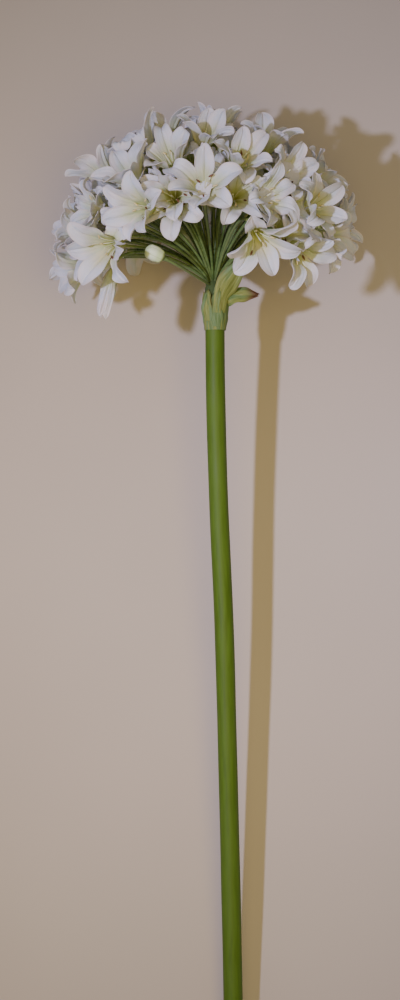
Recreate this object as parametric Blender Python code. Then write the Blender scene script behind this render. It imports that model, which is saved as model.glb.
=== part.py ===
"""Cut flower stem with a large white umbel of the allium kind, lying on a surface.

The flower is modelled upright in its own frame and then laid down by one empty. In the flower's
frame the hub, where all pedicels start, is the origin, +Z runs up through the head, +X is to the
right and -Y is the front of the head. Lying down, the front faces up and the head points to +Y.
Lengths are in metres and angles in degrees.
"""

import math
import random

import bmesh
import bpy
import numpy as np
from mathutils import Euler, Vector

SEED = 13

# The whole flower
HUB_HEIGHT = 0.085  # the hub above the surface, once the flower lies down
HUB_AT = Vector((0.005, 0.2257, HUB_HEIGHT))  # over the middle of the flower's own box
SLOT = 0.0003  # the gap that touching pieces keep
SMOOTH_ANGLE = 50.0  # edges sharper than this stay sharp when shaded

# Stem
STEM_RADIUS = 0.0062
STEM_TOP = -0.0083
STEM_END = -0.573
STEM_SIDES = 16
STEM_RINGS = 14
# The stem's slight bend: (distance below the hub, x)
STEM_BEND = ((0.008, 0.0008), (0.060, 0.0012), (0.135, 0.0032), (0.210, 0.0065),
             (0.300, 0.0090), (0.440, 0.0122), (0.573, 0.0140))

# Umbel
FLORETS = 42
HEAD_CENTRE = np.array((-0.0035, 0.0, 0.0140))  # of the ball that the florets' faces lie on
FACE_RADIUS = 0.0845  # from that centre to the middle of a floret's face
FACE_STAGGER = 0.005
FLATTENED = np.array((1.0, 1.0, 0.94))  # the ball is a little lower than it is wide
# The lowest florets, as an angle from the axis: in front, on the left, on the right, at the back
LIMIT_FRONT, LIMIT_LEFT, LIMIT_RIGHT, LIMIT_BACK = 62.0, 88.0, 72.0, 68.0
# The florets that give the front of the head its look: azimuth from the front towards the right,
# angle from the head's axis, how much further out, and opening. The others spread between them.
FRONT_FLORETS = ((-28, 71, 0.003, 1.0), (-2, 62, 0.001, 1.0), (18, 45, 0.0, 0.85),
                 (27, 64, -0.002, 1.0), (54, 68, 0.0, 0.95), (19, 84, 0.005, 1.0),
                 (41, 88, 0.0, 1.0), (-43, 86, 0.003, 1.0), (-84, 74, 0.0, 0.8),
                 (-76, 93, -0.002, 0.85), (-58, 104, -0.010, 0.0), (-62, 67, -0.002, 0.8),
                 (-42, 54, 0.001, 0.9), (-78, 48, 0.002, 0.75), (-22, 44, 0.0, 0.7),
                 (-4, 27, 0.002, 0.55), (46, 51, -0.002, 0.7), (84, 50, 0.0, 0.8),
                 (86, 71, 0.001, 0.85), (64, 80, -0.003, 0.8))
# How much further the first eight nod, and how far their petals are turned round their axis
FRONT_NODS = (0.15, 0.10, 0.0, 0.10, 0.0, 0.62, 0.25, 0.15)
FRONT_TWISTS = (20, 20, 30, 15, 30, 0, 3, 57)
RELAX_STEPS = 150
RELAX_STEP = 0.004
AXIS_JITTER = 0.22
DROOP = 0.36  # how strongly the lower florets nod
HANGING_DROOP = 2.4  # and the one that hangs closed
RESTING = 0.70  # florets that point down at least this much settle onto the surface
RESTING_GAP = 0.00014  # their petals stay this far off it, so that no corner goes through it
RESTING_HEIGHT = 0.0085  # the middle of their faces above it
RESTING_STRETCH = 0.008  # and reach out further for it, at most

# Floret
PETALS = 6
BASE_RADIUS = 0.0019
THROAT_RADIUS = 0.0042
THROAT_HEIGHT = 0.0080
FACE_HEIGHT = 0.0120
PETAL_LENGTH = 0.0250
PETAL_HALF_WIDTH = 0.0065
PETAL_STATIONS = (0.29, 0.63, 0.88)  # shares of the length where a petal's outline bends
PETAL_WIDTHS = (0.74, 1.0, 0.66)  # shares of the half width there
PETAL_CUP = 0.20  # height of a petal's edges over its middle, as a share of the half width
PETAL_START = 22.0  # angle of a petal to the floret's axis where it leaves the throat
PETAL_START_LEAST = 0.6  # share of that angle in a petal that stays upright
PETAL_OPEN = 58.0  # how much further it turns out by its tip
OUTER_TURN = 10.0  # the outer three turn out further than the inner three
CLOSED_START, CLOSED_TURN = 9.0, -34.0  # the same angles in the one floret that hangs closed
CLOSED_SIZE = 0.85
# How much petals differ: in their angle round the floret, in how far they turn out, in length
# (a share) and in roll
PETAL_SPREAD = (7.0, 9.0, 0.08, 18.0)
LINE_STEPS = 24  # straight steps in which a petal's middle line is followed
BLADE = 0.0006
CLEARANCE = SLOT / 2 + BLADE / 2  # from a blade's middle to the border with a neighbour
SOFTNESS = 0.0012  # distance from a border at which a petal starts to bend away from it
TIP_OVERRUN = 0.0020  # how far past a border a tip may aim before its petal opens less
OPENING_LEAST, OPENING_STEP = 0.3, 0.05
SECTOR_SHARE = 0.53  # half width of a petal over its distance from the axis, at most

# Stamens
STAMENS = 3
STAMEN_LENGTH = 0.0125
STAMEN_LEAN = 0.34  # how far out a stamen leans, as a share of its length
FILAMENT_TAPER = 0.34  # a filament's upper end over the piece of floor that it grows from
ANTHER_FLARE = 1.9  # an anther's upper end over its lower end
ANTHER_LENGTH = 0.0035

# Pedicels
PEDICEL_RADIUS = 0.00095
PEDICEL_SIDES = 4
PEDICEL_SEGMENTS = 3
RECEPTACLE_PROFILE = ((0.0055, -0.0010), (0.0044, 0.0030), (0.0, 0.0055))  # (radius, height)
RECEPTACLE_SIDES = 12
ROOT_DEPTH = 0.0035  # distance from the hub at which a pedicel's root starts, inside the receptacle
ROOT_LEAN = 0.62  # pedicels leave the hub at this share of their floret's angle
PEDICEL_ARCH = (0.45, 0.25)  # handles at the root and at the floret, as shares of the span
PEDICEL_NECK = 0.0040  # straight length under a floret, over which the pedicel widens
ROOT_TAPER, NECK_FLARE = 0.85, 1.6  # radius at the root and under the floret, as shares

# Bud
BUD_BASE = np.array((-0.0309, -0.0500, 0.0132))
BUD_AXIS = np.array((-0.88, -0.22, 0.42))
BUD_LEAN = 1.0
BUD_LENGTH = 0.0125
BUD_RADIUS = 0.0050
BUD_SIDES = 8
BUD_PROFILE = ((0.0, 0.36), (0.12, 0.78), (0.45, 1.0), (0.8, 0.92), (1.0, 0.55))  # along, out

# Spathe
SPATHE_BOTTOM, SPATHE_RIM = -0.0275, -0.0035
SPATHE_SIDES = 18
# How far the rim dips, by column: slit left of the front, raised to the right of the slit
SPATHE_NOTCH = {SPATHE_SIDES - 1: 0.0068, 0: 0.0004, 1: -0.0034, 2: -0.0034, 3: -0.0010}
SPATHE_CREASE = 0.0012  # fold along the middle of each lobe
SPATHE_SLEEVE = ((0, STEM_RADIUS + SLOT + BLADE / 2), (0.3, 0.0074), (0.75, 0.0080), (1, 0.0074))
# The column that each lobe grows from, then (column, out, height, half width, turn) at each step
# towards its tip. A turn of 90 stands the blade on edge.
SPATHE_LOBES = ((5, ((4.7, 0.0124, -0.0044, 0.0044, 46), (4.3, 0.0185, -0.0050, 0.0045, 76),
                     (4.2, 0.0245, -0.0050, 0.0030, 84), (4.2, 0.0284, -0.0054, 0, 0))),
                (2, ((2.1, 0.0112, 0.0030, 0.0056, -16), (2.5, 0.0158, 0.0074, 0.0058, -34),
                     (2.6, 0.0190, 0.0126, 0.0036, -28), (2.7, 0.0206, 0.0154, 0, 0))),
                (-2, ((-2, 0.0074, -0.0024, 0.0018, 0), (-2, 0.0072, -0.0010, 0, 0))))

# How far the flower's axis rises from the surface towards the head, with the stem's cut end and
# the florets under the head both resting on it
TILT = math.degrees(
    math.asin(HUB_HEIGHT / math.hypot(STEM_END, STEM_RADIUS)) - math.atan(-STEM_RADIUS / STEM_END))
SURFACE = (np.array((0.0, math.cos(math.radians(TILT)), -math.sin(math.radians(TILT)))),
           HUB_HEIGHT + SLOT / 2 - RESTING_GAP)


# ---- Arrangement of the florets ----

def direction(azimuth, polar):
    """Unit vector at an azimuth from the front towards the right, and an angle from the axis."""
    a, p = math.radians(azimuth), math.radians(polar)
    return np.array((math.sin(p) * math.sin(a), -math.sin(p) * math.cos(a), math.cos(p)))


def lowest_polar(d):
    """Angle from the axis of the lowest floret on the side of the head that d points to."""
    across = math.hypot(d[0], d[1]) or 1.0
    side, front = (d[0] / across) ** 2, (d[1] / across) ** 2
    return ((LIMIT_LEFT if d[0] < 0 else LIMIT_RIGHT) * side
            + (LIMIT_FRONT if d[1] < 0 else LIMIT_BACK) * front)


def polar_of(d):
    return math.degrees(math.acos(max(-1.0, min(1.0, d[2]))))


def held_in_head(d):
    """d, raised to the head's lower edge where it is below that."""
    limit = lowest_polar(d)
    if polar_of(d) <= limit:
        return d
    azimuth = math.degrees(math.atan2(d[0], -d[1]))
    return direction(azimuth, limit)


def spiral(count):
    """Points of a golden spiral over the whole sphere that lie in the head."""
    turn = 180.0 * (3.0 - math.sqrt(5.0))
    points = (direction(i * turn, math.degrees(math.acos(1 - (2 * i + 1) / count)))
              for i in range(count))
    return [d for d in points if polar_of(d) <= lowest_polar(d)]


def floret_directions():
    """The front florets, then the others, pushed apart until they are evenly spread."""
    fixed = [direction(azimuth, polar) for azimuth, polar, _, _ in FRONT_FLORETS]
    count = FLORETS
    while len(spiral(count)) < FLORETS:
        count += 1
    free = spiral(count)[:FLORETS]
    for key in fixed:
        free.pop(max(range(len(free)), key=lambda i: free[i] @ key))
    places = np.array(fixed + free)
    for _ in range(RELAX_STEPS):
        apart = places[:, None] - places[None]
        distance = np.linalg.norm(apart, axis=2) + np.eye(len(places))
        push = (apart / distance[..., None] ** 4).sum(axis=1) * RELAX_STEP / len(places)
        push[:len(fixed)] = 0
        places = places + push
        places /= np.linalg.norm(places, axis=1)[:, None]
        places[len(fixed):] = [held_in_head(d) for d in places[len(fixed):]]
    return places


class Floret:
    """Where one floret stands, and the cell between its neighbours that it may fill."""

    def __init__(self, index, d):
        draw = random.Random(SEED * 1000 + index)
        jitter = np.array([draw.uniform(-1, 1) for _ in range(3)])
        stagger = FACE_STAGGER * draw.uniform(-1, 1)
        self.openness = draw.uniform(0.70, 1.0)
        if index < len(FRONT_FLORETS):
            _, _, stagger, self.openness = FRONT_FLORETS[index]
        self.closed = self.openness == 0
        droop = (HANGING_DROOP if self.closed else DROOP) * (1 - d[2])
        if index < len(FRONT_NODS):
            droop += FRONT_NODS[index]
        axis = d + AXIS_JITTER * jitter - np.array((0, 0, droop))
        self.axis = axis / np.linalg.norm(axis)
        reach = FACE_RADIUS + stagger
        normal, at = SURFACE
        if normal @ d > RESTING:
            down = (at - RESTING_HEIGHT - normal @ HEAD_CENTRE) / (normal @ (d * FLATTENED))
            reach = min(down, FACE_RADIUS + RESTING_STRETCH)
        self.face = HEAD_CENTRE + d * FLATTENED * reach
        self.base = self.face - self.axis * FACE_HEIGHT
        side = np.cross(self.axis, (0.0, 0.0, 1.0))
        if np.linalg.norm(side) < 0.2:
            side = np.cross(self.axis, (0.0, 1.0, 0.0))
        self.side = side / np.linalg.norm(side)
        self.up = np.cross(self.axis, self.side)
        self.twist = draw.uniform(0, 360 / PETALS)
        if index < len(FRONT_TWISTS):
            self.twist = FRONT_TWISTS[index]
        self.size = draw.uniform(0.90, 1.06) * (CLOSED_SIZE if self.closed else 1.0)
        self.petals = [[draw.uniform(-1, 1) for _ in range(4)] for _ in range(PETALS)]
        self.borders = [SURFACE]

    def out(self, angle):
        """Unit vector away from the floret's axis at an angle round it."""
        a = math.radians(angle)
        return self.side * math.cos(a) + self.up * math.sin(a)

    def petal_angle(self, j):
        return self.twist + 360 / PETALS * j + PETAL_SPREAD[0] * self.petals[j][0]

    def wedge(self, j):
        """The planes through the floret's axis that part a petal from the two beside it."""
        last = self.petal_angle((j - 1) % PETALS) - (360 if j == 0 else 0)
        following = self.petal_angle((j + 1) % PETALS) + (360 if j == PETALS - 1 else 0)
        normals = (self.out((last + self.petal_angle(j)) / 2 - 90),
                   self.out((following + self.petal_angle(j)) / 2 + 90))
        return [(normal, normal @ self.base) for normal in normals]


def borders_between(florets):
    """Gives each floret the planes halfway to its neighbours' faces."""
    for one in florets:
        for other in florets:
            if one is other:
                continue
            apart = other.face - one.face
            normal = apart / np.linalg.norm(apart)
            one.borders.insert(0, (normal, normal @ (one.face + other.face) / 2))


def bent_clear(points, borders):
    """Points pushed back, softly and then firmly, to the near side of each border."""
    for normal, at in borders:
        over = points @ normal - at + CLEARANCE
        push = SOFTNESS * np.logaddexp(0, over / SOFTNESS)
        points = points - push[:, None] * normal
    for _ in range(3):
        for normal, at in borders:
            over = np.maximum(points @ normal - at + CLEARANCE, 0)
            points = points - over[:, None] * normal
    return points


# ---- Petals ----

def petal_line(floret, j, opening, shares):
    """(place, tangent, distance out) at shares of a petal's length, for an opening up to 1."""
    start = PETAL_START * (PETAL_START_LEAST + (1 - PETAL_START_LEAST) * opening)
    turn = PETAL_OPEN * opening + PETAL_SPREAD[1] * floret.petals[j][1]
    turn += OUTER_TURN if j % 2 else 0.0
    if floret.closed:
        start, turn = CLOSED_START, CLOSED_TURN
    step = PETAL_LENGTH * floret.size * (1 + PETAL_SPREAD[2] * floret.petals[j][2]) / LINE_STEPS
    outward = floret.out(floret.petal_angle(j))
    across, along, line = THROAT_RADIUS, THROAT_HEIGHT, []
    for i in range(LINE_STEPS + 1):
        angle = math.radians(start + turn * i / LINE_STEPS)
        place = floret.base + floret.axis * along + outward * across
        tangent = floret.axis * math.cos(angle) + outward * math.sin(angle)
        line.append((place, tangent, across))
        across += math.sin(angle) * step
        along += math.cos(angle) * step
    return [line[round(share * LINE_STEPS)] for share in shares]


def petal_opening(floret, j):
    """How far a petal opens before its tip would run past the floret's borders."""
    opening = floret.openness
    while opening > OPENING_LEAST:
        line = [place for place, _, _ in petal_line(floret, j, opening, (0.5, 0.75, 1.0))]
        over = max(normal @ place - at for normal, at in floret.borders for place in line)
        if over < TIP_OVERRUN:
            break
        opening -= OPENING_STEP
    return opening


def petal_points(floret, j):
    """The petal's coarse outline: left, middle and right at each station, then the tip."""
    line = petal_line(floret, j, petal_opening(floret, j), (*PETAL_STATIONS, 1.0))
    points = []
    for (place, tangent, across), width in zip(line, PETAL_WIDTHS):
        sideways = np.cross(floret.axis, floret.out(floret.petal_angle(j)))
        roll = math.radians(PETAL_SPREAD[3] * floret.petals[j][3])
        lift = np.cross(tangent, sideways)
        sideways = sideways * math.cos(roll) + lift * math.sin(roll)
        inward = np.cross(sideways, tangent)
        half = min(PETAL_HALF_WIDTH * floret.size * width, SECTOR_SHARE * across)
        for edge in (-1, 0, 1):
            points.append(place + sideways * half * edge - inward * PETAL_CUP * half * abs(edge))
    points.append(line[-1][0])
    return points


def floret_sheet(bm, floret):
    """The floret as one sheet without thickness: cup, throat and six petals. Returns its cap."""
    def ring(angle, radius, height):
        return floret.base + floret.out(angle) * radius + floret.axis * height

    middles = [ring(floret.petal_angle(j), THROAT_RADIUS, THROAT_HEIGHT) for j in range(PETALS)]
    joins = []
    for j in range(PETALS):
        following = floret.petal_angle((j + 1) % PETALS) + (360 if j == PETALS - 1 else 0)
        between = (floret.petal_angle(j) + following) / 2
        joins.append(ring(between, THROAT_RADIUS * 0.94, THROAT_HEIGHT * 0.96))
    foot = [ring(floret.petal_angle(j), BASE_RADIUS, BLADE) for j in range(PETALS)]
    blades = [bent_clear(np.array(petal_points(floret, j)), floret.wedge(j) + floret.borders)
              for j in range(PETALS)]

    vert = bm.verts.new
    middles, joins, foot = ([vert(p) for p in row] for row in (middles, joins, foot))
    centre = vert(floret.base + floret.axis * BLADE)
    cap = []
    for j in range(PETALS):
        after, before = (j + 1) % PETALS, j - 1
        cap.append(bm.faces.new((centre, foot[j], foot[after])))
        bm.faces.new((foot[j], joins[j], foot[after]))
        bm.faces.new((foot[j], middles[j], joins[j]))
        bm.faces.new((foot[j], joins[before], middles[j]))
        row = [joins[before], middles[j], joins[j]]
        points = [vert(p) for p in blades[j]]
        for start in range(0, 3 * len(PETAL_STATIONS), 3):
            ahead = points[start:start + 3]
            for near, far, ahead_near, ahead_far in (
                    (row[0], row[1], ahead[0], ahead[1]), (row[1], row[2], ahead[1], ahead[2])):
                bm.faces.new((near, ahead_near, far))
                bm.faces.new((far, ahead_near, ahead_far))
            row = ahead
        tip = points[-1]
        bm.faces.new((row[0], tip, row[1]))
        bm.faces.new((row[1], tip, row[2]))
    return cap


def object_from(name, bm, material, parent):
    bmesh.ops.recalc_face_normals(bm, faces=bm.faces)
    mesh = bpy.data.meshes.new(name)
    bm.to_mesh(mesh)
    bm.free()
    mesh.materials.append(material)
    mesh.shade_smooth()
    mesh.set_sharp_from_angle(angle=math.radians(SMOOTH_ANGLE))
    made = bpy.data.objects.new(name, mesh)
    bpy.context.scene.collection.objects.link(made)
    made.parent = parent
    return made


def thicken(bm):
    """Gives a sheet its thickness, half to either side."""
    bm.normal_update()
    for v, normal in [(v, v.normal.copy()) for v in bm.verts]:
        v.co += normal * BLADE / 2
    bmesh.ops.solidify(bm, geom=bm.faces[:], thickness=BLADE)
    bm.normal_update()


def add_stamens(bm, floret, cap):
    """Grows a stamen from every other face of the cup's floor."""
    for face in [cap[j] for j in range(0, PETALS, PETALS // STAMENS)]:
        middle = Vector(floret.base + floret.axis * BLADE)
        lean = (face.calc_center_median() - middle).normalized()
        axis = Vector(floret.axis)
        for reach, width in ((STAMEN_LENGTH, FILAMENT_TAPER),
                             (STAMEN_LENGTH + ANTHER_LENGTH, ANTHER_FLARE)):
            face = bmesh.ops.extrude_discrete_faces(bm, faces=[face])["faces"][0]
            at = face.calc_center_median()
            goal = middle + (axis + lean * STAMEN_LEAN) * reach
            for v in face.verts:
                v.co = goal + (v.co - at) * width


def build_floret(name, floret, material, parent):
    bm = bmesh.new()
    cap = floret_sheet(bm, floret)
    thicken(bm)
    add_stamens(bm, floret, cap)
    return object_from(name, bm, material, parent)


# ---- Stem, pedicels, bud and spathe ----

def tube(bm, path, radii, sides):
    """A closed tube of straight pieces along a path, its ends square to it."""
    rings = []
    side = None
    for i, (at, radius) in enumerate(zip(path, radii)):
        ahead = Vector(path[min(i + 1, len(path) - 1)]) - Vector(path[max(i - 1, 0)])
        ahead.normalize()
        side = (side or ahead.orthogonal()) - ahead * (side or ahead.orthogonal()).dot(ahead)
        side.normalize()
        up = ahead.cross(side)
        turns = [2 * math.pi * k / sides for k in range(sides)]
        rings.append([bm.verts.new(Vector(at) + (side * math.cos(t) + up * math.sin(t)) * radius)
                      for t in turns])
    for low, high in zip(rings, rings[1:]):
        for k in range(sides):
            following = (k + 1) % sides
            bm.faces.new((low[k], low[following], high[following], high[k]))
    bm.faces.new(rings[0][::-1])
    bm.faces.new(rings[-1])


def bezier(points, share):
    a, b, c, d = (np.array(p) for p in points)
    rest = 1 - share
    return (a * rest ** 3 + 3 * b * rest ** 2 * share + 3 * c * rest * share ** 2 + d * share ** 3)


def pedicel_path(base, axis, lean):
    """From inside the receptacle, arching out to meet the foot of a floret or bud squarely."""
    azimuth = math.degrees(math.atan2(base[0], -base[1]))
    leaving = direction(azimuth, polar_of(base / np.linalg.norm(base)) * lean)
    end = base - axis * SLOT
    span = np.linalg.norm(end)
    near, far = (span * share for share in PEDICEL_ARCH)
    curve = (leaving * ROOT_DEPTH, leaving * near, end - axis * far, end)
    path = [bezier(curve, i / PEDICEL_SEGMENTS) for i in range(PEDICEL_SEGMENTS)]
    return [*path, end - axis * PEDICEL_NECK, end]


def build_pedicels(florets, bud, material, parent):
    """All pedicels and the receptacle that they grow from, joined into one body."""
    bm = bmesh.new()
    floor = STEM_TOP + SLOT
    profile = ((0.0, floor), (RECEPTACLE_PROFILE[0][0], floor), *RECEPTACLE_PROFILE)
    verts = [bm.verts.new((r, 0, z)) for r, z in profile]
    edges = [bm.edges.new(pair) for pair in zip(verts, verts[1:])]
    bmesh.ops.spin(bm, geom=verts + edges, axis=(0, 0, 1), cent=(0, 0, 0),
                   steps=RECEPTACLE_SIDES, angle=2 * math.pi, use_merge=True)
    bmesh.ops.remove_doubles(bm, verts=bm.verts, dist=1e-6)
    pedicels = object_from("pedicels", bm, material, parent)

    ends = bpy.data.collections.new("pedicel_tubes")
    for base, axis, lean in [(f.base, f.axis, ROOT_LEAN) for f in florets] + [(*bud, BUD_LEAN)]:
        bm = bmesh.new()
        path = pedicel_path(base, axis, lean)
        shares = [ROOT_TAPER] + [1] * (len(path) - 2) + [NECK_FLARE]
        tube(bm, path, [PEDICEL_RADIUS * share for share in shares], PEDICEL_SIDES)
        one = object_from("pedicel_tube", bm, material, parent)
        bpy.context.scene.collection.objects.unlink(one)
        ends.objects.link(one)

    join = pedicels.modifiers.new("join", "BOOLEAN")
    join.operation = "UNION"
    join.operand_type = "COLLECTION"
    join.collection = ends
    bpy.context.view_layer.update()
    graph = bpy.context.evaluated_depsgraph_get()
    joined = bpy.data.meshes.new_from_object(pedicels.evaluated_get(graph))
    pedicels.modifiers.clear()
    pedicels.data = joined
    for one in list(ends.objects):
        bpy.data.objects.remove(one)
    bpy.data.collections.remove(ends)
    return pedicels


def stem_centre(depth):
    """x of the stem's centre line at a depth below the hub, on a smooth curve."""
    depths, offsets = zip(*STEM_BEND)
    slopes = np.gradient(offsets, depths)
    i = min(max(np.searchsorted(depths, depth) - 1, 0), len(depths) - 2)
    run = depths[i + 1] - depths[i]
    t = (depth - depths[i]) / run
    return (offsets[i] * (2 * t ** 3 - 3 * t ** 2 + 1) + slopes[i] * run * (t ** 3 - 2 * t ** 2 + t)
            + offsets[i + 1] * (3 * t ** 2 - 2 * t ** 3) + slopes[i + 1] * run * (t ** 3 - t ** 2))


def build_stem(material, parent):
    bm = bmesh.new()
    heights = np.linspace(STEM_TOP, STEM_END, STEM_RINGS)
    path = [(stem_centre(-z), 0.0, z) for z in heights]
    tube(bm, path, [STEM_RADIUS] * len(path), STEM_SIDES)
    return object_from("stem", bm, material, parent)


def build_bud(bud, material, parent):
    """The one bud, a plump barrel on a pedicel of its own."""
    base, axis = bud
    bm = bmesh.new()
    path = [base + axis * BUD_LENGTH * along for along, _ in BUD_PROFILE]
    tube(bm, path, [BUD_RADIUS * out for _, out in BUD_PROFILE], BUD_SIDES)
    return object_from("bud", bm, material, parent)


def build_spathe(material, parent):
    """The papery sheath round the stem's top, notched in front, with three torn lobes."""
    def place(column, out, height):
        middle = np.array((stem_centre(-height), 0, height))
        return middle + direction(360 / SPATHE_SIDES * column, 90) * out

    bm = bmesh.new()
    rims = [SPATHE_RIM - SPATHE_NOTCH.get(k, 0) for k in range(SPATHE_SIDES)]
    grid = [[bm.verts.new(place(k, out, SPATHE_BOTTOM + (rim - SPATHE_BOTTOM) * share))
             for k, rim in enumerate(rims)] for share, out in SPATHE_SLEEVE]
    for low, high in zip(grid, grid[1:]):
        for k in range(SPATHE_SIDES):
            after = (k + 1) % SPATHE_SIDES
            bm.faces.new((low[k], low[after], high[after], high[k]))
    for rooted, steps in SPATHE_LOBES:
        row = [grid[-1][(rooted + k) % SPATHE_SIDES] for k in (-1, 0, 1)]
        for column, out, height, half, turn in steps:
            at = place(column, out, height)
            if not half:
                tip = bm.verts.new(at)
                bm.faces.new((row[0], row[1], tip))
                bm.faces.new((row[1], row[2], tip))
                continue
            t = math.radians(turn)
            across = np.cross((0, 0, 1), direction(360 / SPATHE_SIDES * column, 90)) * math.cos(t)
            across += np.array((0, 0, math.sin(t)))
            fold = np.cross(across, direction(360 / SPATHE_SIDES * column, 90)) * SPATHE_CREASE
            ahead = [bm.verts.new(at + across * half * k + fold * abs(k)) for k in (-1, 0, 1)]
            for k in (0, 1):
                bm.faces.new((row[k], row[k + 1], ahead[k + 1], ahead[k]))
            row = ahead
    bmesh.ops.triangulate(bm, faces=bm.faces)
    bmesh.ops.recalc_face_normals(bm, faces=bm.faces)
    thicken(bm)
    return object_from("spathe", bm, material, parent)


def material(name, colour, roughness):
    made = bpy.data.materials.new(name)
    made.use_nodes = True
    shader = made.node_tree.nodes["Principled BSDF"]
    shader.inputs["Base Color"].default_value = (*colour, 1)
    shader.inputs["Roughness"].default_value = roughness
    shader.inputs["Metallic"].default_value = 0
    return made


def main():
    for old in list(bpy.data.objects):
        bpy.data.objects.remove(old)
    laid = bpy.data.objects.new("laid_down", None)
    laid.rotation_euler = Euler((math.radians(TILT - 90), 0, 0))
    laid.location = HUB_AT
    bpy.context.scene.collection.objects.link(laid)

    white = material("petal_white", (0.80, 0.82, 0.80), 0.75)
    bud_green = material("bud_green", (0.66, 0.76, 0.50), 0.6)
    dark_green = material("pedicel_green", (0.08, 0.13, 0.03), 0.4)
    green = material("stem_green", (0.14, 0.22, 0.03), 0.45)
    straw = material("spathe_straw", (0.42, 0.42, 0.11), 0.6)

    florets = [Floret(i, d) for i, d in enumerate(floret_directions())]
    borders_between(florets)
    for i, floret in enumerate(florets, 1):
        build_floret(f"floret_{i:02d}", floret, white, laid)

    bud = (BUD_BASE, BUD_AXIS / np.linalg.norm(BUD_AXIS))
    build_bud(bud, bud_green, laid)
    build_pedicels(florets, bud, dark_green, laid)
    build_stem(green, laid)
    build_spathe(straw, laid)


main()
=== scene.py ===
"""The looks of the cut flower: a large white umbel of the allium kind, lying on a pale surface.

Everything is made in the flower's own frame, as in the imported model's source: the hub, where all
pedicels start, is the origin, +Z runs up through the head, +X to the right and -Y to the front.
laid_down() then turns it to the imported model's frame. Lengths are in metres, angles in degrees.
"""

import math
import random

import bpy
import numpy as np
from mathutils import Matrix, Vector


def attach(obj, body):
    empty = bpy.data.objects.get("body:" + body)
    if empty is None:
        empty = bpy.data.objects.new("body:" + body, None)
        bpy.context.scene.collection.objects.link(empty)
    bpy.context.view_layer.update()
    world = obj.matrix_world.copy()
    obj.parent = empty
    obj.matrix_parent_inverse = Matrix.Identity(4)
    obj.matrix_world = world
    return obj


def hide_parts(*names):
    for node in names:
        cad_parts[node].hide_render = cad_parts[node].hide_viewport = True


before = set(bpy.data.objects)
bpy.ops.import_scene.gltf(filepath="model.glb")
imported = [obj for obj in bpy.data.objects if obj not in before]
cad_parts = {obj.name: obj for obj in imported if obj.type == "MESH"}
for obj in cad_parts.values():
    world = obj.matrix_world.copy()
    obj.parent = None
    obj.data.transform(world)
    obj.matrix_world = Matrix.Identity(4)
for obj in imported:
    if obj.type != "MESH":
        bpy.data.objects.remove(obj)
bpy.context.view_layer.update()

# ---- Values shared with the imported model, where the second front floret is more open ----

SEED = 13
HUB_HEIGHT = 0.085  # the hub above the surface
HUB_AT = np.array((0.005, 0.2257, HUB_HEIGHT))
SLOT = 0.0003  # the gap that touching pieces keep
RESTING_GAP = 0.00014  # resting petals stay this far off the surface
BLADE = 0.0006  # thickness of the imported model's petals

# Stem
STEM_RADIUS = 0.0062
STEM_TOP = -0.0083
STEM_END = -0.573
# The stem's slight bend: (distance below the hub, x)
STEM_BEND = ((0.008, 0.0008), (0.060, 0.0012), (0.135, 0.0032), (0.210, 0.0065),
             (0.300, 0.0090), (0.440, 0.0122), (0.573, 0.0140))
TILT = math.degrees(math.asin(HUB_HEIGHT / math.hypot(STEM_END, STEM_RADIUS))
                    - math.atan(-STEM_RADIUS / STEM_END))
SURFACE = (np.array((0.0, math.cos(math.radians(TILT)), -math.sin(math.radians(TILT)))),
           HUB_HEIGHT + SLOT / 2 - RESTING_GAP)

# Umbel
FLORETS = 42
HEAD_CENTRE = np.array((-0.0035, 0.0, 0.0140))  # of the ball that the florets' faces lie on
FACE_RADIUS = 0.0845  # from that centre to the middle of a floret's face
FACE_STAGGER = 0.005
FLATTENED = np.array((1.0, 1.0, 0.94))  # the ball is a little lower than it is wide
# Angle of the lowest florets from the axis, on each side
LIMIT_FRONT, LIMIT_LEFT, LIMIT_RIGHT, LIMIT_BACK = 62.0, 88.0, 72.0, 68.0
# The florets that give the front of the head its look: azimuth from the front towards the right,
# angle from the head's axis, how much further out, and opening. The others spread between them.
FRONT_FLORETS = ((-28, 71, 0.003, 1.0), (-2, 62, 0.001, 0.85), (18, 45, 0.0, 0.85),
                 (27, 64, -0.002, 1.0), (54, 68, 0.0, 0.95), (19, 84, 0.005, 1.0),
                 (41, 88, 0.0, 1.0), (-43, 86, 0.003, 1.0), (-84, 74, 0.0, 0.8),
                 (-76, 93, -0.002, 0.85), (-58, 104, -0.010, 0.0), (-62, 67, -0.002, 0.8),
                 (-42, 54, 0.001, 0.9), (-78, 48, 0.002, 0.75), (-22, 44, 0.0, 0.7),
                 (-4, 27, 0.002, 0.55), (46, 51, -0.002, 0.7), (84, 50, 0.0, 0.8),
                 (86, 71, 0.001, 0.85), (64, 80, -0.003, 0.8))
# How much further the first eight nod
FRONT_NODS = (0.15, 0.10, 0.0, 0.10, 0.0, 0.62, 0.25, 0.15)
# And how far their petals are turned round the floret's axis
FRONT_TWISTS = (20, 20, 30, 15, 30, 0, 3, 57)
RELAX_STEPS = 150
RELAX_STEP = 0.004
AXIS_JITTER = 0.22
DROOP = 0.36  # how strongly the lower florets nod
HANGING_DROOP = 2.4  # and the one that hangs closed
RESTING = 0.70  # florets that point down at least this much settle onto the surface
RESTING_HEIGHT = 0.0085  # the middle of their faces above it
RESTING_STRETCH = 0.008  # and reach out further for it, at most

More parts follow.
